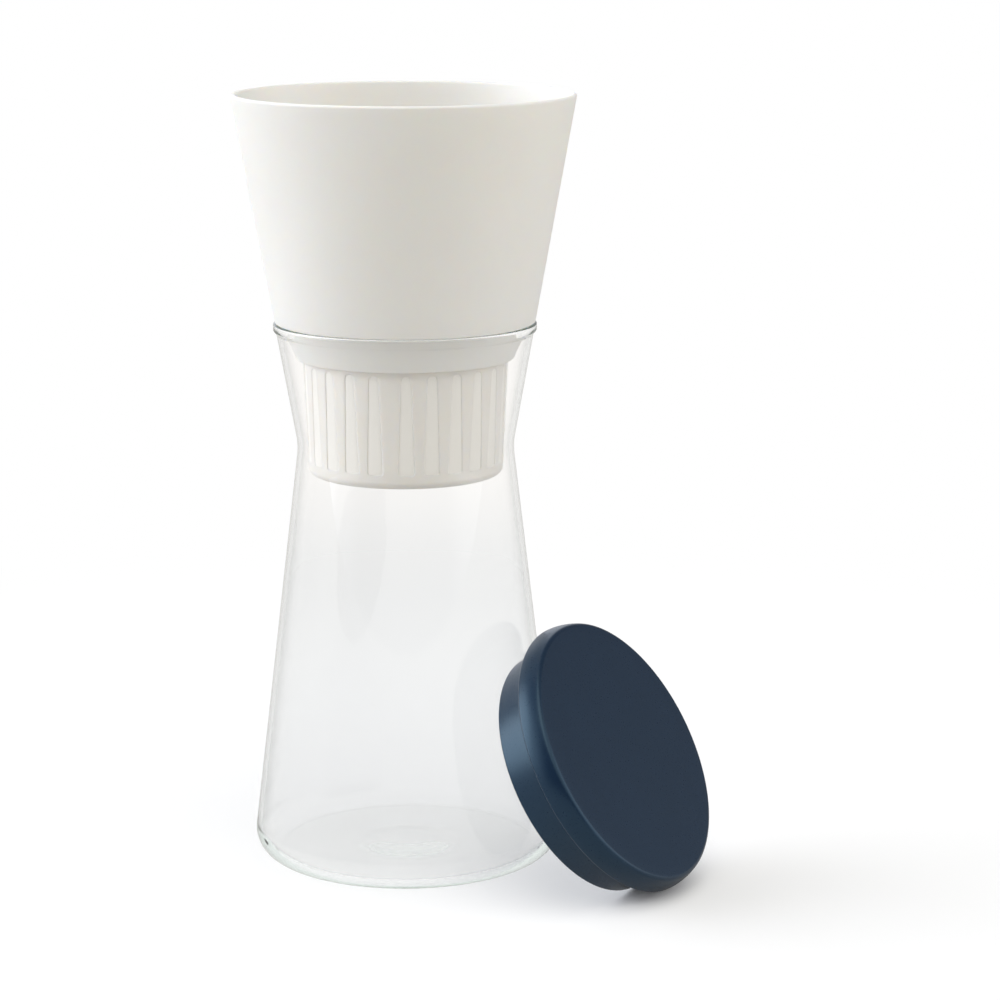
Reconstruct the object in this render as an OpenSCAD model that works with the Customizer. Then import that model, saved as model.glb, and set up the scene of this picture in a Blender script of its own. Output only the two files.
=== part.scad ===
// Hand-strained nut milk maker: a waisted glass carafe, a funnel hopper seated in its mouth,
// a slotted filter basket hanging in the hopper, and a soft stopper lid leaning on the glass.
// Sizes are in millimetres and angles in degrees. +Z is up, the origin is the middle of the
// carafe's foot on the table, and the lid leans on the +X side.

/* [Carafe] */
// Widest radius of the glass, at the heel
carafe_r = 55; // [52:0.5:60]
// Rounding between the base and the wall
heel_fillet = 9.4; // [6:0.2:12]
// Radius at which the two cones of the wall meet
waist_r = 38.2; // [34:0.2:42]
// Height of the waist above the table
waist_z = 149.8; // [144:0.2:156]
// Rounding of the waist
waist_fillet = 20; // [8:1:40]
// Radius of the neck just under the rim bead
neck_r = 45.4; // [44.6:0.1:48]
// Height of the neck, from the waist to the rim bead
neck_h = 40.2; // [38:0.1:48]
// Height of the rim bead
bead_h = 3.8; // [3:0.1:5]
// How far the rim bead stands out of the neck
bead_out = 1.1; // [0.6:0.1:1.6]
// Rounding of the rim bead's edges
bead_fillet = 0.9; // [0.4:0.1:1]
// Wall of the glass
glass_wall = 1.6; // [1.4:0.1:2.2]
// Thickness of the glass base
base_t = 2.6; // [2:0.2:4]
// Radius of the low button that blowing leaves in the middle of the base
button_r = 18; // [10:0.5:24]
// Height of that button
button_h = 1.2; // [0.4:0.1:2]

/* [Hopper] */
// Height of the hopper from its shoulder to its rim
hopper_h = 79.8; // [60:0.5:100]
// Outer radius of the hopper's rim
hopper_top_r = 60.4; // [54:0.2:68]
// Wall of the hopper
hopper_wall = 2; // [1.6:0.1:3]
// How far the hopper's foot stands back from the rim bead
hopper_setback = 0.5; // [0:0.1:1]
// Thickness of the shoulder that rests on the glass
shoulder_t = 2.2; // [1.6:0.1:4]
// How far the spigot reaches down into the neck
spigot_depth = 12.4; // [8:0.2:16]
// Wall of the spigot
spigot_wall = 1.8; // [1.4:0.1:2.2]
// Clearance between the spigot and the mouth of the glass
mouth_clear = 1; // [0.6:0.1:1.6]
// Clearance between the spigot's foot and the neck of the glass
neck_clear = 3.6; // [2.6:0.1:5]
// Rounding of moulded edges
edge_fillet = 0.5; // [0.2:0.1:0.6]

/* [Filter basket] */
// Depth of the cage below the spigot
cage_depth = 41.9; // [36:0.2:60]
// Least draft of the cage, which narrows downwards
cage_draft = 2; // [1:0.1:4]
// Least clearance between the cage and the waist of the glass
waist_clear = 1.7; // [1:0.1:4]
// Wall of the collar and the cage
cage_wall = 1.8; // [1.4:0.1:2.2]
// Rounding of the cage's foot
cage_fillet = 3; // [1:0.2:3.4]
// Thickness of the flange that hangs the basket
flange_t = 1.6; // [1.2:0.1:3]
// Clearance between the flange and the hopper's wall
flange_clear = 0.8; // [0.6:0.1:1.2]
// Clearance between the collar and the spigot
collar_clear = 0.3; // [0.2:0.05:0.5]
// Groups of slots around the cage, with a wide rib between them
slot_groups = 4; // [3:1:5]
// Slots in each group
slots_per_group = 6; // [4:1:6]
// Angle across each wide rib, from slot to slot
wide_rib_angle = 18; // [14:1:24]
// Width of a slot at its rounded top
slot_top_w = 3; // [2:0.1:4]
// Width of a slot at its foot
slot_foot_w = 5.2; // [4:0.1:5.8]
// Distance from the spigot down to the slots
slot_top_gap = 1.7; // [1.5:0.1:5]
// Distance from the cage's foot up to the slots
slot_foot_gap = 5.4; // [4:0.1:9]
// Thickness of the cage's floor
floor_t = 1.8; // [1.2:0.1:2.6]
// Width of the floor left around its windows
floor_lip = 4; // [3:0.2:8]
// Radius of the hub in the middle of the floor
hub_r = 5; // [3:0.5:9]
// Spokes between the floor's windows
spokes = 6; // [3:1:8]
// Width of a spoke
spoke_w = 2.2; // [1.6:0.1:4]
// Thickness of the screen cloth
screen_t = 0.4; // [0.3:0.1:0.8]
// How far the side screen reaches above the slots
screen_lap = 1.2; // [0.6:0.1:1.4]
// Gap between a screen and its frame
screen_gap = 0.1; // [0.05:0.05:0.3]
// Turn of the first wide rib from the lid's side
basket_turn = 21; // [0:1:90]

/* [Lid] */
// How far the lid's cap overhangs the rim bead
cap_over = 3.3; // [2:0.1:6]
// Thickness of the cap's edge
cap_t = 8.2; // [6:0.2:12]
// How far the cap's side draws in from its middle to its top
cap_draw = 2; // [0.4:0.1:2.6]
// Rounding of the cap's top edge
cap_fillet = 1.8; // [1:0.1:5]
// Thickness of the cap above the hollow plug
cap_top_t = 4; // [3:0.2:5.6]
// Depth of the plug below the cap
plug_depth = 13.4; // [10:0.2:20]
// How much the plug's root is wider than the mouth of the glass
plug_squeeze = 0.6; // [0.2:0.1:1.2]
// How much the plug's end is narrower than the mouth of the glass
plug_lead = 0.2; // [0:0.1:1]
// Wall of the hollow plug
plug_wall = 2.6; // [2:0.1:4]
// Rounding inside the plug
plug_fillet = 3; // [1:0.2:5]
// Rounding of the lid's other edges
lip_fillet = 0.8; // [0.3:0.1:0.9]
// Lean of the lid back from upright
lid_lean = 30.2; // [22:0.2:40]

/* [Seats] */
// Gap left where the hopper and the basket rest on their seats
seat_gap = 0.2; // [0.1:0.05:0.4]
// Gap left where the lid leans on the glass
lean_gap = 0.3; // [0.2:0.05:0.6]

/* [Hidden] */
$fn = 96;
arc_step = 9; // largest step of an arc in an outline
cut_over = 1; // how far a cut runs past what it cuts

// Radius, at height z, of the cone that leans outwards through point p, moved inwards by d
function cone_r(p, lean, z, d = 0) = p.x + (z - p.y) * tan(lean) - d / cos(lean);

// Height at which two cones that meet at height z still meet when both are moved inwards by d
function inset_z(z, low_lean, high_lean, d) =
    z + d * (1 / cos(high_lean) - 1 / cos(low_lean)) / (tan(high_lean) - tan(low_lean));

function unit(v) = v / norm(v);
function xy(p) = [p.x, p.y];

// Points of the arc of radius r that rounds corner b between a and c
function corner_arc(a, b, c, r) =
    let (
        u = unit(a - b),
        v = unit(c - b),
        half = acos(u * v) / 2,
        middle = b + unit(u + v) * r / sin(half),
        from = b + u * r / tan(half) - middle,
        to = b + v * r / tan(half) - middle,
        start = atan2(from.y, from.x),
        sweep = (atan2(to.y, to.x) - start + 540) % 360 - 180,
        steps = ceil(abs(sweep) / arc_step)
    )
    [for (i = [0 : steps]) middle + r * [cos(start + sweep * i / steps), sin(start + sweep * i / steps)]];

// Closed outline through [x, y, rounding] corners
function rounded(corners) =
    let (n = len(corners))
    [for (i = [0 : n - 1])
        let (p = corners[i], before = corners[(i + n - 1) % n], after = corners[(i + 1) % n])
        each p.z > 0 ? corner_arc(xy(before), xy(p), xy(after), p.z) : [xy(p)]];

// The lower cone of the glass touches the heel's rounding and runs through the waist
waist = [waist_r, waist_z];
to_heel = [carafe_r - heel_fillet, heel_fillet] - waist;
lower_lean = -atan2(to_heel.x, -to_heel.y) - asin(heel_fillet / norm(to_heel));
upper_lean = atan2(neck_r - waist_r, neck_h);
neck_z = waist_z + neck_h;
rim_z = neck_z + bead_h;
bead_r = neck_r + bead_out;
mouth_r = cone_r(waist, upper_lean, rim_z, glass_wall);
bead_edge = min(bead_fillet, 0.45 * (bead_r - mouth_r));
waist_in_z = inset_z(waist_z, lower_lean, upper_lean, glass_wall);
waist_in_r = cone_r(waist, upper_lean, waist_in_z, glass_wall);

carafe_outline = rounded([
    [0, 0, 0],
    [cone_r(waist, lower_lean, 0), 0, heel_fillet],
    [waist_r, waist_z, waist_fillet],
    [neck_r, neck_z, bead_edge],
    [bead_r, neck_z + bead_out, bead_edge],
    [bead_r, rim_z, bead_edge],
    [mouth_r, rim_z, bead_edge],
    [waist_in_r, waist_in_z, waist_fillet + glass_wall],
    [cone_r(waist, lower_lean, base_t, glass_wall), base_t, heel_fillet - glass_wall],
    [button_r, base_t, button_r / 4],
    [button_r / 2, base_t + button_h, button_r / 4],
    [0, base_t + button_h, 0]
]);

// The hopper's shoulder rests on the rim bead, and its spigot stands inside the mouth
seat_z = rim_z + seat_gap;
ledge_z = seat_z + shoulder_t;
hopper_rim_z = seat_z + hopper_h;
hopper_foot = [bead_r - hopper_setback, seat_z];
hopper_lean = atan2(hopper_top_r - hopper_foot.x, hopper_h);
spigot_foot_z = seat_z - spigot_depth;
spigot_foot = [cone_r(waist, upper_lean, spigot_foot_z, glass_wall + neck_clear), spigot_foot_z];
spigot_top_r = mouth_r - mouth_clear;
spigot_lean = atan2(spigot_top_r - spigot_foot.x, spigot_depth);
ledge_r = cone_r(hopper_foot, hopper_lean, ledge_z, hopper_wall);
hopper_rim_edge = 0.4 * hopper_wall;

hopper_outline = rounded([
    [hopper_foot.x, seat_z, edge_fillet],
    [hopper_top_r, hopper_rim_z, hopper_rim_edge],
    [cone_r(hopper_foot, hopper_lean, hopper_rim_z, hopper_wall), hopper_rim_z, hopper_rim_edge],
    [ledge_r, ledge_z, edge_fillet],
    [cone_r(spigot_foot, spigot_lean, ledge_z, spigot_wall), ledge_z, edge_fillet],
    [cone_r(spigot_foot, spigot_lean, spigot_foot_z, spigot_wall), spigot_foot_z, edge_fillet],
    [spigot_foot.x, spigot_foot_z, edge_fillet],
    [spigot_top_r, seat_z, edge_fillet]
]);

// The basket's flange hangs on the ledge inside the hopper, and its collar lies along the spigot.
// The cage narrows downwards by its draft, or by more where the waist is tight
flange_z = ledge_z + seat_gap;
flange_top_z = flange_z + flange_t;
collar_inset = spigot_wall + collar_clear;
cage_top = [cone_r(spigot_foot, spigot_lean, spigot_foot_z, collar_inset), spigot_foot_z];
cage_lean = max(cage_draft, atan2(cage_top.x - waist_in_r + waist_clear, cage_top.y - waist_in_z));
cage_foot_z = cage_top.y - cage_depth;
cage_foot = [cone_r(cage_top, cage_lean, cage_foot_z), cage_foot_z];
cage_in_z = inset_z(cage_top.y, cage_lean, spigot_lean, cage_wall);
floor_z = cage_foot_z + floor_t;
function cage_in_r(z, gap = 0) = cone_r(cage_foot, cage_lean, z, cage_wall + gap);

filter_outline = rounded([
    [ledge_r - flange_clear, flange_z, edge_fillet],
    [ledge_r - flange_clear, flange_top_z, edge_fillet],
    [cone_r(spigot_foot, spigot_lean, flange_top_z, collar_inset + cage_wall), flange_top_z, edge_fillet],
    [cage_in_r(cage_in_z), cage_in_z, cage_wall],
    [cage_in_r(floor_z), floor_z, edge_fillet],
    [0, floor_z, 0],
    [0, cage_foot_z, 0],
    [cage_foot.x, cage_foot_z, cage_fillet],
    [cage_top.x, cage_top.y, edge_fillet],
    [cone_r(spigot_foot, spigot_lean, flange_z, collar_inset), flange_z, edge_fillet]
]);

slot_foot_z = cage_foot_z + slot_foot_gap;
slot_top_z = cage_top.y - slot_top_gap;
group_angle = 360 / slot_groups;
slot_pitch = (group_angle - wide_rib_angle) / (slots_per_group - 1);
screen_z = floor_z + screen_gap;
screen_top_z = slot_top_z + screen_lap;
window_r = cage_in_r(floor_z) - floor_lip;

// The lid stands on the lower edge of its plug and leans on the glass with the upper edge.
// Its cap is widest at its lower edge, and its side rolls in towards the top
lid_r = bead_r + cap_over;
lid_h = cap_t + plug_depth;
cap_bend_h = 0.5 * cap_t;
cap_side = norm([cap_draw, cap_bend_h]);
cap_slope = atan2(cap_draw, cap_bend_h);
cap_edge = min(cap_fillet, 0.5 * cap_side * tan(45 + cap_slope / 2));
cap_roll = 0.9 * min(cap_side - cap_edge * tan(45 - cap_slope / 2), cap_t - cap_bend_h - lip_fillet);
cap_roll_r = cap_roll / tan(cap_slope / 2);
plug_root_r = mouth_r + plug_squeeze;
plug_end = [mouth_r - plug_lead, -lid_h];
plug_lean = atan2(plug_root_r - plug_end.x, plug_depth);

lid_outline = rounded([
    [0, 0, 0],
    [lid_r - cap_draw, 0, cap_edge],
    [lid_r, -cap_bend_h, cap_roll_r],
    [lid_r, -cap_t, lip_fillet],
    [plug_root_r, -cap_t, lip_fillet],
    [plug_end.x, plug_end.y, lip_fillet],
    [cone_r(plug_end, plug_lean, plug_end.y, plug_wall), plug_end.y, lip_fillet],
    [cone_r(plug_end, plug_lean, -cap_top_t, plug_wall), -cap_top_t, plug_fillet],
    [0, -cap_top_t, 0]
]);

// Centres of the roundings on the plug's end and on the cap's edge, as [radius, height] in the lid
lid_edges = [
    [cone_r(plug_end, plug_lean, lip_fillet - lid_h, lip_fillet), lip_fillet - lid_h],
    [lid_r - lip_fillet, lip_fillet - cap_t]
];
lid_z = max([for (p = lid_edges) p.x * cos(lid_lean) - p.y * sin(lid_lean) + lip_fillet]);
lid_x = max([for (p = lid_edges)
    let (z = lid_z + p.y * sin(lid_lean) + p.x * cos(lid_lean))
    cone_r(waist, lower_lean, z, -lip_fillet - lean_gap) + p.x * sin(lid_lean) - p.y * cos(lid_lean)]);

module carafe() {
    color([0.86, 0.93, 0.9, 0.35]) rotate_extrude() polygon(carafe_outline);
}

module hopper() {
    color([0.95, 0.95, 0.93]) rotate_extrude() polygon(hopper_outline);
}

// One slot of the cage, cut outwards along +X: wide and square at its foot, narrow and round on top
module slot() {
    start_r = cage_in_r(slot_foot_z) - cut_over;
    round_z = slot_top_z - slot_top_w / 2;
    translate([start_r, 0, 0]) rotate([90, 0, 90]) linear_extrude(cage_top.x - start_r + cut_over) {
        polygon([[-slot_foot_w / 2, slot_foot_z], [slot_foot_w / 2, slot_foot_z],
                 [slot_top_w / 2, round_z], [-slot_top_w / 2, round_z]]);
        translate([0, round_z]) circle(d = slot_top_w);
    }
}

// The windows of the cage's floor, between its hub, its spokes and its lip
module floor_windows() {
    translate([0, 0, cage_foot_z - cut_over]) linear_extrude(floor_t + 2 * cut_over) difference() {
        circle(r = window_r);
        circle(r = hub_r);
        for (i = [0 : spokes - 1]) rotate(i * 360 / spokes + basket_turn)
            translate([0, -spoke_w / 2]) square([window_r + cut_over, spoke_w]);
    }
}

module filter_frame() {
    color([0.93, 0.92, 0.89]) difference() {
        rotate_extrude() polygon(filter_outline);
        for (group = [0 : slot_groups - 1], i = [0 : slots_per_group - 1])
            rotate(basket_turn + group * group_angle + wide_rib_angle / 2 + i * slot_pitch) slot();
        floor_windows();
    }
}

module side_screen() {
    color([0.93, 0.9, 0.8]) rotate_extrude() polygon([
        [cage_in_r(screen_z, screen_gap), screen_z],
        [cage_in_r(screen_top_z, screen_gap), screen_top_z],
        [cage_in_r(screen_top_z, screen_gap + screen_t), screen_top_z],
        [cage_in_r(screen_z, screen_gap + screen_t), screen_z]
    ]);
}

module floor_screen() {
    color([0.93, 0.9, 0.8]) translate([0, 0, screen_z])
        cylinder(r = cage_in_r(screen_z, 2 * screen_gap + screen_t), h = screen_t);
}

module lid() {
    color([0.14, 0.19, 0.27]) translate([lid_x, 0, lid_z]) rotate([0, 90 - lid_lean, 0])
        rotate_extrude() polygon(lid_outline);
}

carafe();
hopper();
filter_frame();
side_screen();
floor_screen();
lid();
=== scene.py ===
import math

import bmesh
import bpy
from mathutils import Matrix, Vector


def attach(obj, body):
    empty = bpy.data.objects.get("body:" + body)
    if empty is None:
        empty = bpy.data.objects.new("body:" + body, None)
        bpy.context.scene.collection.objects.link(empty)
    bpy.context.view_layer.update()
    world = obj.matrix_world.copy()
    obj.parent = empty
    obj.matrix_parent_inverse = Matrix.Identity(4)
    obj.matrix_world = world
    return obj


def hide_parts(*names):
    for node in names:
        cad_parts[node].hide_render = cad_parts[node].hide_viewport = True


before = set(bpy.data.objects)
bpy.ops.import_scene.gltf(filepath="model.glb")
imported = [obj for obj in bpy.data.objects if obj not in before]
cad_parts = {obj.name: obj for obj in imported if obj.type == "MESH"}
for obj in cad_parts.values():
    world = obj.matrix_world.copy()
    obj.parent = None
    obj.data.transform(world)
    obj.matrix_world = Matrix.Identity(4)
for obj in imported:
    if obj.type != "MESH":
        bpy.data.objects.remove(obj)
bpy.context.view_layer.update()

scene = bpy.context.scene
scene.view_settings.view_transform = "Standard"
# Light runs a long way inside the glass base and rim
GLASS_BOUNCES = 128
scene.cycles.max_bounces = GLASS_BOUNCES
scene.cycles.glossy_bounces = GLASS_BOUNCES
scene.cycles.transmission_bounces = GLASS_BOUNCES

MM = 0.001
FULL_TURN = 2 * math.pi
# Points as near as this become one, on a spun line and in the cage
SPIN_TOUCH, CAGE_TOUCH = 0.002 * MM, 0.01 * MM
# The longest edge of a line in millimetres, and the turn of each step of a rounding
LONGEST_EDGE, ROUND_STEP = 4.0, math.radians(6)
CREASE_ANGLE = math.radians(25)

# Lines of the turned pieces, as radius, height and rounding in millimetres
CARAFE_LINE = [
    (0, 0, 0), (56.197, 0, 9.4), (38.2, 149.8, 20), (45.4, 190, 0.9), (46.5, 191.1, 0.9),
    (46.5, 193.8, 0.9), (44.455, 193.8, 0.9), (36.583, 149.847, 21.6), (54.273, 2.6, 7.8),
    (18, 2.6, 30), (9, 3.8, 30), (0, 3.8, 0),
]
HOPPER_LINE = [
    (46, 194, 0.5), (60.4, 273.8, 0.8), (58.368, 273.8, 0.8), (44.365, 196.2, 0.5),
    (42.382, 196.2, 0.5), (36.68, 181.6, 0.5), (38.613, 181.6, 0.5), (43.455, 194, 0.5),
]
LID_LINE = [
    (0, 0, 0), (47.8, 0, 1.8), (49.8, -4.1, 12.87), (49.8, -8.2, 0.8), (45.055, -8.2, 0.8),
    (44.255, -21.6, 0.8), (41.65, -21.6, 0.8), (42.701, -4, 3), (0, -4, 0),
]
LID_TILT = math.radians(59.8)
LID_PLACE = Matrix.Translation((0.0880339, 0, 0.04886)) @ Matrix.Rotation(LID_TILT, 4, "Y")
SIDE_SCREEN_LINE = [
    (32.598, 141.6, 0), (34.433, 181.1, 0), (34.033, 181.1, 0), (32.197, 141.6, 0),
]
FLOOR_SCREEN_LINE = [(0, 141.6, 0), (32.09, 141.6, 0), (32.09, 142, 0), (0, 142, 0)]

# The basket's cage, in millimetres and degrees: a wall between two heights, with groups of slots.
# A group starts at the middle of a wide rib, and each slot is in the middle of its cell.
CAGE_FOOT, CAGE_TOP, CAGE_WALL = (34.411, 139.7), (36.358, 181.6), 1.802
WALL_FOOT_Z, WALL_TOP_Z = 143.2, 181
GROUPS, GROUP_ANGLE, GROUP_SLOTS, CELL_ANGLE = 4, 90, 6, 14.4
RIB_TURN, RIB_TO_SLOT = 21, 9
RIB_HALF = RIB_TO_SLOT - CELL_ANGLE / 2
SLOT_TURNS = [
    RIB_TURN + GROUP_ANGLE * group + RIB_TO_SLOT + CELL_ANGLE * i
    for group in range(GROUPS) for i in range(GROUP_SLOTS)
]
SLOT_FOOT_Z, SLOT_TOP_Z, SLOT_CORNER = 145.1, 179.9, 0.6
SLOT_FOOT_W, SLOT_TOP_W = 5.31, 3.06
# The wall's rows just below and above the slots, and the heights and turns that a rim lies within
ROW_BELOW_Z, ROW_ABOVE_Z = 144.2, 180.5
RIM_LOW_Z, RIM_HIGH_Z, RIM_REACH = 144, 180.5, 6
# How far the cloth is tucked past a slot's sides, and how far it swells out and how squarely
CLOTH_TUCK, CLOTH_SWELL, CLOTH_SQUARENESS = 1.0, 1.68, 8

# The basket's floor: a hub with its corners cut off, and a spoke out from each cut
SPOKES, HUB_R, HUB_CUT, SPOKE_REACH = 6, 5.6, 1.27, 29.2
FLOOR_Z, FLOOR_T = CAGE_FOOT[1], 1.8
SPOKE_W_LOW, SPOKE_W_HIGH = 2, 2.4


def cage_r(z):
    """Outer radius of the cage at a height, in millimetres."""
    (foot_r, foot_z), (top_r, top_z) = CAGE_FOOT, CAGE_TOP
    return foot_r + (z - foot_z) * (top_r - foot_r) / (top_z - foot_z)


# Lines of the basket above and below the cage's wall, from its outer to its inner skin
COLLAR_LINE = [
    (cage_r(WALL_TOP_Z), WALL_TOP_Z, 0), (*CAGE_TOP, 0.5), (42.138, 196.4, 0.5),
    (43.565, 196.4, 0.5), (43.565, 198, 0.5), (40.83, 198, 0.5), (34.574, 181.98, 1.8),
    (cage_r(WALL_TOP_Z) - CAGE_WALL, WALL_TOP_Z, 0),
]
FOOT_LINE = [
    (cage_r(WALL_FOOT_Z), WALL_FOOT_Z, 0), (*CAGE_FOOT, 3), (28.693, 139.7, 0.4),
    (28.693, 141.5, 0.4), (32.693, 141.5, 0.5),
    (cage_r(WALL_FOOT_Z) - CAGE_WALL, WALL_FOOT_Z, 0),
]


def draw_line(bm, corners, closed=False, longest=LONGEST_EDGE):
    """Draws a line through the corners as wire, rounds them and cuts its long edges."""
    verts = [bm.verts.new((r * MM, 0, z * MM)) for r, z, _ in corners]
    for pair in zip(verts, verts[1:] + verts[:1] * closed):
        bm.edges.new(pair)
    for v, (_, _, rounding) in zip(verts, corners):
        if rounding:
            a, b = (e.other_vert(v).co - v.co for e in v.link_edges)
            half = a.angle(b) / 2
            bmesh.ops.bevel(
                bm, geom=[v], affect="VERTICES", offset=rounding * MM / math.tan(half),
                segments=max(4, round((math.pi - 2 * half) / ROUND_STEP)), profile=0.5,
                material=-1,
            )
    for edge in [e for e in bm.edges if e.calc_length() > longest * MM]:
        cuts = int(edge.calc_length() / (longest * MM))
        bmesh.ops.subdivide_edges(bm, edges=[edge], cuts=cuts)


def points_of(corners):
    """The points of a rounded line, in order, as radius and height in millimetres."""
    bm = bmesh.new()
    draw_line(bm, corners)
    start = Vector((corners[0][0], 0, corners[0][1])) * MM
    ends = [v for v in bm.verts if len(v.link_edges) == 1]
    v = min(ends, key=lambda end: (end.co - start).length)
    found, edge = [], None
    while v is not None:
        found.append((v.co.x / MM, v.co.z / MM))
        edge = next((e for e in v.link_edges if e is not edge), None)
        v = edge.other_vert(v) if edge else None
    bm.free()
    return found


def turned(corners, steps, closed=False, longest=LONGEST_EDGE):
    """A line spun about the upright axis."""
    bm = bmesh.new()
    draw_line(bm, corners, closed, longest)
    bmesh.ops.spin(
        bm, geom=bm.verts[:] + bm.edges[:], cent=(0, 0, 0), axis=(0, 0, 1), angle=FULL_TURN,
        steps=steps, use_merge=True,
    )
    bmesh.ops.remove_doubles(bm, verts=bm.verts[:], dist=SPIN_TOUCH)
    bmesh.ops.recalc_face_normals(bm, faces=bm.faces[:])
    return bm


def finished(bm, name, body, node, material):
    """Makes the piece that stands for a node of the frame."""
    mesh = bpy.data.meshes.new(name)
    bm.to_mesh(mesh)
    bm.free()
    mesh.shade_smooth()
    mesh.set_sharp_from_angle(angle=CREASE_ANGLE)
    mesh.materials.append(material)
    piece = bpy.data.objects.new(name, mesh)
    scene.collection.objects.link(piece)
    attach(piece, body)
    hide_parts(node)


def verts_in(geom):
    return [v for v in geom if isinstance(v, bmesh.types.BMVert)]


def turn_about_axis(bm, geom, degrees):
    matrix = Matrix.Rotation(math.radians(degrees), 3, "Z")
    bmesh.ops.rotate(bm, verts=verts_in(geom), cent=(0, 0, 0), matrix=matrix)


def round_edges(bm, edges, rounding, segments):
    bmesh.ops.bevel(
        bm, geom=edges, affect="EDGES", offset=rounding * MM, segments=segments, profile=0.5,
        material=-1,
    )


def around(v):
    """Turn of a point about the upright axis, in degrees from 0 to 360."""
    return math.degrees(math.atan2(v.co.y, v.co.x)) % 360


def turn_from(v, turn):
    """How far a point is from a turn about the upright axis, either way, in degrees."""
    return abs((around(v) - turn + 180) % 360 - 180)


def among_slots(edge):
    return all(RIM_LOW_Z < v.co.z / MM < RIM_HIGH_Z for v in edge.verts)


def slot_taper(z):
    """Half the width between a slot's straight sides at a height, in millimetres."""
    rise = (z - SLOT_FOOT_Z) / (SLOT_TOP_Z - SLOT_TOP_W / 2 - SLOT_FOOT_Z)
    return (SLOT_FOOT_W + (SLOT_TOP_W - SLOT_FOOT_W) * min(1, max(0, rise))) / 2


def slot_half(z):
    """Half the width of a slot at a height: round on top, and rounded at its foot corners."""
    if not SLOT_FOOT_Z <= z <= SLOT_TOP_Z:
        return 0
    top_r = SLOT_TOP_W / 2
    if z > SLOT_TOP_Z - top_r:
        return math.sqrt(max(0, top_r ** 2 - (z - SLOT_TOP_Z + top_r) ** 2))
    short = max(0, SLOT_FOOT_Z + SLOT_CORNER - z)
    return slot_taper(z) - SLOT_CORNER + math.sqrt(SLOT_CORNER ** 2 - short ** 2)


def slot_rows():
    """Heights of the wall's rows, close together where the slots are round."""
    quarter = [math.radians(a) for a in range(0, 91, 15)]
    corner = [SLOT_FOOT_Z + SLOT_CORNER * (1 - math.cos(a)) for a in quarter]
    dome = [SLOT_TOP_Z - SLOT_TOP_W / 2 * (1 - math.sin(a)) for a in quarter]
    steps = 9
    sides = [corner[-1] + (dome[0] - corner[-1]) * i / steps for i in range(1, steps)]
    return [WALL_FOOT_Z, ROW_BELOW_Z, *corner, *sides, *dome, ROW_ABOVE_Z, WALL_TOP_Z]


def is_hole(face):
    """Whether a face of the first cell fills its slot."""
    middle = face.calc_center_median()
    central = abs(math.atan2(middle.y, middle.x)) < math.radians(0.1)
    return central and SLOT_FOOT_Z < middle.z / MM < SLOT_TOP_Z


def cage_wall(bm):
    """The slotted wall of the cage, as an outer and an inner skin joined through the slots."""
    rows = slot_rows()
    columns, steps = 5, len(rows) - 1
    grid = bmesh.ops.create_grid(bm, x_segments=columns, y_segments=steps, size=0.5)["verts"]
    cell = math.radians(CELL_ANGLE) / 2
    for v in grid:
        z = rows[round((v.co.y + 0.5) * steps)]
        column = round((v.co.x + 0.5) * columns)
        slot = slot_half(z) / cage_r(z)
        rib = (cell + slot) / 2
        turn = (-cell, -rib, -slot, slot, rib, cell)[column]
        v.co = (cage_r(z) * MM * math.cos(turn), cage_r(z) * MM * math.sin(turn), z * MM)
    bmesh.ops.delete(bm, geom=[f for f in bm.faces if is_hole(f)], context="FACES")
    bmesh.ops.remove_doubles(bm, verts=bm.verts[:], dist=CAGE_TOUCH)

    # A cell for each slot
    first = bm.verts[:] + bm.edges[:] + bm.faces[:]
    for turn in SLOT_TURNS[1:]:
        turn_about_axis(bm, bmesh.ops.duplicate(bm, geom=first)["geom"], turn)
    turn_about_axis(bm, first, SLOT_TURNS[0])
    bmesh.ops.remove_doubles(bm, verts=bm.verts[:], dist=CAGE_TOUCH)

    # The wide ribs between the groups
    for group in range(GROUPS):
        middle = RIB_TURN + GROUP_ANGLE * group
        sides = [
            e for e in bm.edges
            if e.is_boundary and all(abs(turn_from(v, middle) - RIB_HALF) < 0.3 for v in e.verts)
        ]
        bmesh.ops.bridge_loops(bm, edges=sides)

    # The inner skin, and the sides of the slots
    inner = bmesh.ops.duplicate(bm, geom=bm.verts[:] + bm.edges[:] + bm.faces[:])["geom"]
    for v in verts_in(inner):
        shrink = 1 - CAGE_WALL * MM / math.hypot(v.co.x, v.co.y)
        v.co.x, v.co.y = v.co.x * shrink, v.co.y * shrink
    for turn in SLOT_TURNS:
        rims = [
            e for e in bm.edges
            if e.is_boundary and among_slots(e)
            and all(turn_from(v, turn) < RIM_REACH for v in e.verts)
        ]
        bmesh.ops.bridge_loops(bm, edges=rims)


def ring_at(bm, z, outer):
    """The open ring of edges that the wall ends in at a height."""
    ring = [
        e for e in bm.edges
        if e.is_boundary and all(abs(v.co.z - z * MM) < CAGE_TOUCH for v in e.verts)
    ]
    limit = (cage_r(z) - CAGE_WALL / 2) * MM
    return [e for e in ring if (math.hypot(*e.verts[0].co.xy) > limit) == outer]


def carried_along(bm, z, corners):
    """Extrudes the wall's outer ring along a line and joins it to the inner ring."""
    loop = ring_at(bm, z, True)
    for r, height in points_of(corners)[1:-1]:
        grown = bmesh.ops.extrude_edge_only(bm, edges=loop)["geom"]
        ring = verts_in(grown)
        new = set(ring)
        loop = [e for e in grown if isinstance(e, bmesh.types.BMEdge) and new.issuperset(e.verts)]
        scale = r * MM / math.hypot(*ring[0].co.xy)
        bmesh.ops.translate(bm, verts=ring, vec=(0, 0, height * MM - ring[0].co.z))
        bmesh.ops.scale(bm, verts=ring, vec=(scale, scale, 1))
    bmesh.ops.bridge_loops(bm, edges=loop + ring_at(bm, z, False))


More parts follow.
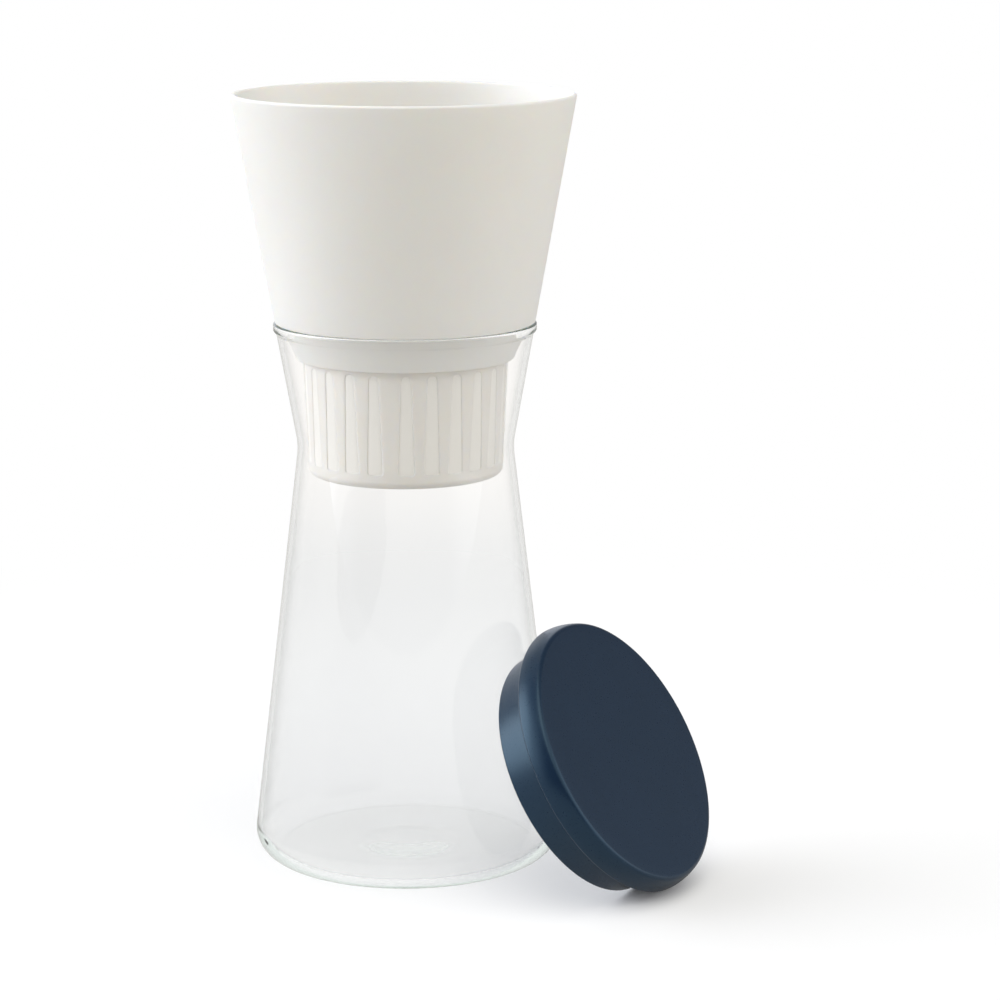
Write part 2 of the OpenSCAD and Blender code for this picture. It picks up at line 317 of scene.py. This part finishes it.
def side_cloth_sleeve():
    """The sleeve of cloth inside the cage, swollen out into each slot."""
    bm = turned(SIDE_SCREEN_LINE, steps=480, closed=True, longest=1.0)
    for v in bm.verts:
        z, r = v.co.z / MM, math.hypot(*v.co.xy) / MM
        local = (around(v) - SLOT_TURNS[0] + RIB_TO_SLOT) % GROUP_ANGLE - RIB_TO_SLOT
        nearest = min(GROUP_SLOTS - 1, max(0, round(local / CELL_ANGLE)))
        off = local - CELL_ANGLE * nearest
        across = math.radians(off) * r / (slot_taper(z) + CLOTH_TUCK)
        if abs(across) < 1 and SLOT_FOOT_Z - CLOTH_TUCK < z < SLOT_TOP_Z + CLOTH_TUCK:
            swell = 1 + CLOTH_SWELL * (1 - across ** CLOTH_SQUARENESS) / r
            v.co.x, v.co.y = v.co.x * swell, v.co.y * swell
    return bm


def spoked_floor(bm):
    """The hub and spokes between the windows of the basket's floor."""
    hub = bmesh.ops.create_circle(bm, segments=SPOKES, radius=HUB_R * MM, cap_ends=True)["verts"]
    turn_about_axis(bm, hub, RIB_TURN)
    bmesh.ops.bevel(
        bm, geom=hub, affect="VERTICES", offset=HUB_CUT * MM, segments=1, profile=0.5, material=-1,
    )
    bmesh.ops.translate(bm, verts=bm.verts[:], vec=(0, 0, FLOOR_Z * MM))
    raised = bmesh.ops.extrude_face_region(bm, geom=bm.faces[:])["geom"]
    bmesh.ops.translate(bm, verts=verts_in(raised), vec=(0, 0, FLOOR_T * MM))
    roots = [
        f for f in bm.faces
        if abs(f.normal.z) < 0.5
        and SPOKE_W_LOW < f.calc_area() / (FLOOR_T * MM) / MM < SPOKE_W_HIGH
    ]
    for spoke in bmesh.ops.extrude_discrete_faces(bm, faces=roots)["faces"]:
        out = spoke.calc_center_median()
        out.z = 0
        reach = out.normalized() * (SPOKE_REACH * MM - out.length)
        bmesh.ops.translate(bm, verts=spoke.verts[:], vec=reach)
    bmesh.ops.recalc_face_normals(bm, faces=bm.faces[:])
    sharp = [e for e in bm.edges if e.calc_face_angle(0) > math.radians(50)]
    round_edges(bm, sharp, rounding=0.35, segments=2)


def basket():
    """The whole filter frame: slotted cage, collar, flange and spoked floor."""
    bm = bmesh.new()
    cage_wall(bm)
    carried_along(bm, WALL_TOP_Z, COLLAR_LINE)
    carried_along(bm, WALL_FOOT_Z, FOOT_LINE)
    bmesh.ops.recalc_face_normals(bm, faces=bm.faces[:])
    sharp = [e for e in bm.edges if e.calc_face_angle(0) > math.radians(60)]
    round_edges(bm, [e for e in sharp if among_slots(e)], rounding=0.45, segments=3)
    floor = bmesh.new()
    spoked_floor(floor)
    part = bpy.data.meshes.new("spokes")
    floor.to_mesh(part)
    floor.free()
    bm.from_mesh(part)
    bpy.data.meshes.remove(part)
    return bm


def put(tree, kind, inputs=None, **settings):
    """Adds a node. inputs gives each socket a value, or the socket that feeds it."""
    node = tree.nodes.new("ShaderNode" + kind)
    for name, value in settings.items():
        setattr(node, name, value)
    for key, value in (inputs or {}).items():
        if isinstance(value, bpy.types.NodeSocket):
            tree.links.new(value, node.inputs[key])
        else:
            node.inputs[key].default_value = value
    return node


def maths(tree, operation, a, b=0.0):
    return put(tree, "Math", {0: a, 1: b}, operation=operation).outputs[0]


def spread(tree, value, low, high, to_low, to_high, smooth=False):
    """Maps a value from one range to another."""
    return put(
        tree, "MapRange",
        {"Value": value, "From Min": low, "From Max": high, "To Min": to_low, "To Max": to_high},
        interpolation_type="SMOOTHSTEP" if smooth else "LINEAR",
    ).outputs["Result"]


def mixed(tree, factor, a, b):
    return put(tree, "Mix", {0: factor, 6: a, 7: b}, data_type="RGBA").outputs[2]


def noise(tree, place, scale, detail):
    return put(tree, "TexNoise", {"Vector": place, "Scale": scale, "Detail": detail}).outputs[0]


def object_place(tree):
    return put(tree, "TexCoord").outputs["Object"]


def effect(name, inputs, outputs):
    """A new shader group, with the sockets inside it that its inputs and outputs show."""
    tree = bpy.data.node_groups.new(name, "ShaderNodeTree")
    for socket, kind in inputs.items():
        tree.interface.new_socket(socket, in_out="INPUT", socket_type="NodeSocket" + kind)
    for socket in outputs:
        tree.interface.new_socket(socket, in_out="OUTPUT", socket_type="NodeSocketFloat")
    given = tree.nodes.new("NodeGroupInput").outputs
    return tree, given, tree.nodes.new("NodeGroupOutput").inputs


def moulded_grain():
    """Fine pits of a moulded skin, and slow clouds of tone over it."""
    inputs = {"Place": "Vector", "Grains": "Float", "Clouds": "Float"}
    tree, given, out = effect("moulded_grain", inputs, ["Height", "Cloud"])
    fine = noise(tree, given["Place"], given["Grains"], 2.0)
    slow = noise(tree, given["Place"], given["Clouds"], 3.0)
    tree.links.new(fine, out["Height"])
    tree.links.new(spread(tree, slow, 0.3, 0.7, 0, 1), out["Cloud"])
    return tree


def plain_weave():
    """Threads that pass over and under each other, one to each whole number each way."""
    inputs = {"Across": "Float", "Along": "Float"}
    tree, given, out = effect("plain_weave", inputs, ["Height", "Gap"])
    swell, count = {}, {}
    for way in inputs:
        part = maths(tree, "FRACT", given[way])
        swell[way] = maths(tree, "SINE", maths(tree, "MULTIPLY", part, math.pi))
        count[way] = maths(tree, "FLOOR", given[way])
    cells = maths(tree, "ADD", count["Across"], count["Along"])
    over = spread(tree, maths(tree, "FLOORED_MODULO", cells, 2.0), 0, 1, -0.4, 0.4)
    raised = maths(tree, "ADD", 0.6, maths(tree, "MULTIPLY", over, swell["Along"]))
    sunk = maths(tree, "SUBTRACT", 0.6, maths(tree, "MULTIPLY", over, swell["Across"]))
    across = maths(tree, "MULTIPLY", swell["Across"], raised)
    along = maths(tree, "MULTIPLY", swell["Along"], sunk)
    tree.links.new(maths(tree, "MAXIMUM", across, along), out["Height"])
    # Mask of the gaps between threads, which the cloth's colour fills with painted shade
    cover = maths(tree, "MAXIMUM", swell["Across"], swell["Along"])
    tree.links.new(spread(tree, cover, 0.35, 0.6, 1, 0, smooth=True), out["Gap"])
    return tree


def blank(name):
    """A new material, its node tree and its shader."""
    material = bpy.data.materials.new(name)
    material.use_nodes = True
    return material, material.node_tree, material.node_tree.nodes["Principled BSDF"]


def outlet(tree):
    return tree.nodes["Material Output"].inputs


def bumped(tree, height, strength, distance):
    inputs = {"Height": height, "Strength": strength, "Distance": distance}
    return put(tree, "Bump", inputs).outputs[0]


def moulded(name, grain, light, deep, grains, clouds, rough, pits):
    """A moulded finish: clouded colour, uneven gloss and fine pits."""
    material, tree, shader = blank(name)
    inputs = {"Place": object_place(tree), "Grains": grains, "Clouds": clouds}
    skin = put(tree, "Group", inputs, node_tree=grain).outputs
    colour = mixed(tree, skin["Cloud"], (*light, 1), (*deep, 1))
    tree.links.new(colour, shader.inputs["Base Color"])
    tree.links.new(spread(tree, skin["Height"], 0.3, 0.7, *rough), shader.inputs["Roughness"])
    tree.links.new(bumped(tree, skin["Height"], pits, 0.1 * MM), shader.inputs["Normal"])
    return material, shader


def clear_glass():
    """Blown glass with faint waves, painted shade greying its edges and its body below the neck,
    and a faint green. It lets lamplight through.
    """
    material, tree, shader = blank("clear_glass")
    place = object_place(tree)
    waves = noise(tree, place, 35.0, 1.0)
    tree.links.new(bumped(tree, waves, 0.012, 0.12 * MM), shader.inputs["Normal"])
    film = noise(tree, place, 60.0, 4.0)
    tree.links.new(spread(tree, film, 0.45, 0.75, 0.0, 0.006), shader.inputs["Roughness"])
    shader.inputs["Transmission Weight"].default_value = 1.0
    # Painted shade: the colour turns grey where the glass is seen at a grazing slant, standing in
    # for the dark lines along its edges
    slant = put(tree, "LayerWeight", {"Blend": 0.5}).outputs["Facing"]
    edge = spread(tree, slant, 0.55, 0.97, 0, 1, smooth=True)
    # Painted shade: below the neck the glass is tinted grey, so the body looks darker than the
    # clear neck
    height = put(tree, "SeparateXYZ", {0: place}).outputs["Z"]
    neck = spread(tree, height, 100 * MM, 150 * MM, 0, 1, smooth=True)
    clear = mixed(tree, neck, (0.93, 0.932, 0.931, 1), (1, 0.99, 0.978, 1))
    tree.links.new(mixed(tree, edge, clear, (0.60, 0.61, 0.605, 1)), shader.inputs["Base Color"])
    shader.inputs["IOR"].default_value = 1.47
    shader.inputs["Specular Tint"].default_value = (0.6, 0.6, 0.6, 1)
    rays = put(tree, "LightPath").outputs
    passed = maths(tree, "MAXIMUM", rays["Is Shadow Ray"], rays["Is Diffuse Ray"])
    let_through = put(tree, "BsdfTransparent", {"Color": (0.995, 0.995, 0.995, 1)}).outputs[0]
    both = put(tree, "MixShader", {0: passed, 1: shader.outputs[0], 2: let_through}).outputs[0]
    tree.links.new(both, outlet(tree)["Surface"])
    green = put(tree, "VolumeAbsorption", {"Color": (0.78, 0.91, 0.85, 1), "Density": 5.0})
    tree.links.new(green.outputs[0], outlet(tree)["Volume"])
    return material


def screen_cloth(name, weave, across, along):
    """Fine nylon mesh that lets some light through.

    across and along each make a count of threads from x, y and z.
    """
    material, tree, shader = blank(name)
    xyz = put(tree, "SeparateXYZ", {0: object_place(tree)}).outputs
    counts = {"Across": across(tree, xyz), "Along": along(tree, xyz)}
    cloth = put(tree, "Group", counts, node_tree=weave).outputs
    # Painted shade: the gaps between the threads are a little darker and warmer, for the dimmer
    # inside seen through the cloth
    tone = mixed(tree, cloth["Gap"], (0.99, 0.975, 0.93, 1), (0.96, 0.94, 0.885, 1))
    tree.links.new(tone, shader.inputs["Base Color"])
    tree.links.new(spread(tree, cloth["Height"], 0, 1, 0.75, 0.5), shader.inputs["Roughness"])
    tree.links.new(bumped(tree, cloth["Height"], 0.35, 0.1 * MM), shader.inputs["Normal"])
    through = put(tree, "BsdfTranslucent", {"Color": (0.97, 0.95, 0.9, 1)}).outputs[0]
    both = put(tree, "MixShader", {0: 0.08, 1: shader.outputs[0], 2: through}).outputs[0]
    tree.links.new(both, outlet(tree)["Surface"])
    return material


# The cloth's threads: how far apart they are, and how many go round the sleeve
THREAD, SLEEVE_THREADS = 0.36 * MM, 584


def around_axis(tree, xyz):
    """Threads counted around the upright axis."""
    turn = maths(tree, "ARCTAN2", xyz["Y"], xyz["X"])
    return maths(tree, "MULTIPLY", turn, SLEEVE_THREADS / FULL_TURN)


def straight(axis):
    """Threads counted along one axis."""
    return lambda tree, xyz: maths(tree, "DIVIDE", xyz[axis], THREAD)


def photo_camera():
    """The camera as it was fitted to the photo."""
    data = bpy.data.cameras.new("photo_camera")
    data.sensor_width, data.lens = 36, 113.083
    camera = bpy.data.objects.new("photo_camera", data)
    camera.location = (0.54406, -0.95384, 0.35622)
    camera.rotation_euler = (math.radians(78.3207), 0, math.radians(27.9537))
    scene.collection.objects.link(camera)
    scene.camera = camera


# Soft patches of studio light. Each has the way to its middle, the cosines of the angles from
# there at which it has faded out and is full, and its light.
LIGHT_PATCHES = {
    "softbox": ((-0.86, -0.374, 0.346), 0.85, 0.93, (2.33, 2.4, 2.59)),
    "key": ((-0.668, -0.661, 0.342), 0.8, 0.95, (1.42, 1.45, 1.53)),
    "ceiling": ((0, 0, 1), 0.5, 1.0, (0.15, 0.15, 0.15)),
    "top_screen": ((0.173, -0.304, 0.937), 0.8, 0.97, (1.1, 1.08, 1.03)),
    "side_wall": ((0.94, 0.306, 0.15), 0.75, 0.97, (1.52, 1.52, 1.57)),
    "front_screen": ((0.531, -0.329, 0.78), 0.7, 0.95, (0.97, 0.95, 0.895)),
    "back_left": ((-0.84, 0.48, 0.25), 0.55, 0.93, (1.17, 1.2, 1.26)),
    "back_right": ((0.49, 0.855, 0.17), 0.5, 0.95, (0.2, 0.2, 0.2)),
}
WHITE = {"Color": (1, 1, 1, 1), "Strength": 1.0}


def looked_at(tree):
    """1 for rays from the camera or through the glass, and 0 for rays that light the object."""
    rays = put(tree, "LightPath").outputs
    return maths(tree, "MAXIMUM", rays["Is Camera Ray"], rays["Is Transmission Ray"])


def studio_world():
    """Patches of light round the object, and plain white to look at."""
    world = bpy.data.worlds.new("studio")
    world.use_nodes = True
    scene.world = world
    tree = world.node_tree
    way = put(tree, "TexCoord").outputs["Generated"]
    total = (0, 0, 0)
    for direction, fades, full, light in LIGHT_PATCHES.values():
        facing = put(tree, "VectorMath", {0: way, 1: direction}, operation="DOT_PRODUCT")
        share = spread(tree, facing.outputs["Value"], fades, full, 0, 1, smooth=True)
        patch = put(tree, "VectorMath", {0: light, "Scale": share}, operation="SCALE").outputs[0]
        total = put(tree, "VectorMath", {0: total, 1: patch}, operation="ADD").outputs[0]
    lit = tree.nodes["Background"]
    tree.links.new(total, lit.inputs["Color"])
    lit.inputs["Strength"].default_value = 1.0
    white = put(tree, "Background", WHITE)
    seen = put(tree, "MixShader", {0: looked_at(tree), 1: lit.outputs[0], 2: white.outputs[0]})
    tree.links.new(seen.outputs[0], tree.nodes["World Output"].inputs["Surface"])


def pale_floor():
    """A floor that looks white and keeps the object's soft shadows."""
    bm = bmesh.new()
    bmesh.ops.create_circle(bm, segments=96, radius=6, cap_ends=True)
    bmesh.ops.translate(bm, verts=bm.verts[:], vec=(0, 0, -0.4 * MM))
    mesh = bpy.data.meshes.new("pale_floor")
    bm.to_mesh(mesh)
    bm.free()
    material, tree, _ = blank("pale_floor")
    bounced = put(tree, "BsdfDiffuse", {"Color": (0.62, 0.608, 0.578, 1)})
    away = put(tree, "VectorMath", {0: object_place(tree)}, operation="LENGTH").outputs["Value"]
    # Open air counts as full under the glass, and the floor is plain white far from the object
    open_air = put(tree, "AmbientOcclusion", {"Distance": 8 * MM}, samples=8).outputs["AO"]
    under_glass = spread(tree, away, 60 * MM, 75 * MM, 1, 0, smooth=True)
    open_air = maths(tree, "MAXIMUM", maths(tree, "POWER", open_air, 1.4), under_glass)
    far = spread(tree, away, 150 * MM, 500 * MM, 0.25, 1, smooth=True)
    white_share = maths(tree, "MULTIPLY", open_air, far)
    glow = put(tree, "Emission", WHITE)
    shaded = put(tree, "BsdfDiffuse", {"Color": (1, 1, 1, 1)})
    looks = put(tree, "MixShader", {0: white_share, 1: shaded.outputs[0], 2: glow.outputs[0]})
    both = put(tree, "MixShader", {0: looked_at(tree), 1: bounced.outputs[0], 2: looks.outputs[0]})
    tree.links.new(both.outputs[0], outlet(tree)["Surface"])
    mesh.materials.append(material)
    floor = bpy.data.objects.new("pale_floor", mesh)
    scene.collection.objects.link(floor)


photo_camera()
studio_world()
pale_floor()

grain, weave = moulded_grain(), plain_weave()
white_plastic, milky = moulded(
    "white_plastic", grain, light=(0.865, 0.857, 0.83), deep=(0.845, 0.836, 0.805),
    grains=2600, clouds=22, rough=(0.42, 0.56), pits=0.25,
)
basket_plastic, satin = moulded(
    "basket_plastic", grain, light=(0.87, 0.845, 0.805), deep=(0.85, 0.825, 0.78),
    grains=1800, clouds=30, rough=(0.34, 0.46), pits=0.12,
)
for shader in (milky, satin):
    shader.inputs["Subsurface Weight"].default_value = 0.6
    shader.inputs["Subsurface Radius"].default_value = (1.0, 0.85, 0.65)
    shader.inputs["Subsurface Scale"].default_value = 2 * MM
navy_silicone, rubber = moulded(
    "navy_silicone", grain, light=(0.0065, 0.0185, 0.046), deep=(0.0055, 0.0165, 0.042),
    grains=2200, clouds=40, rough=(0.27, 0.33), pits=0.14,
)
rubber.inputs["Specular Tint"].default_value = (0.52, 0.82, 1.0, 1)
rubber.inputs["Specular IOR Level"].default_value = 0.58
side_cloth = screen_cloth("side_cloth", weave, around_axis, straight("Z"))
floor_cloth = screen_cloth("floor_cloth", weave, straight("X"), straight("Y"))

carafe = turned(CARAFE_LINE, steps=256)
finished(carafe, "glass_carafe", "carafe", "carafe", clear_glass())
hopper = turned(HOPPER_LINE, steps=160, closed=True)
finished(hopper, "funnel_hopper", "hopper", "hopper", white_plastic)
finished(basket(), "basket_frame", "filter", "filter_frame", basket_plastic)
sleeve = side_cloth_sleeve()
finished(sleeve, "basket_side_cloth", "filter", "side_screen", side_cloth)
disc = turned(FLOOR_SCREEN_LINE, steps=96)
finished(disc, "basket_floor_cloth", "filter", "floor_screen", floor_cloth)
lid = turned(LID_LINE, steps=160)
bmesh.ops.transform(lid, matrix=LID_PLACE, verts=lid.verts[:])
finished(lid, "stopper_lid", "lid", "lid", navy_silicone)
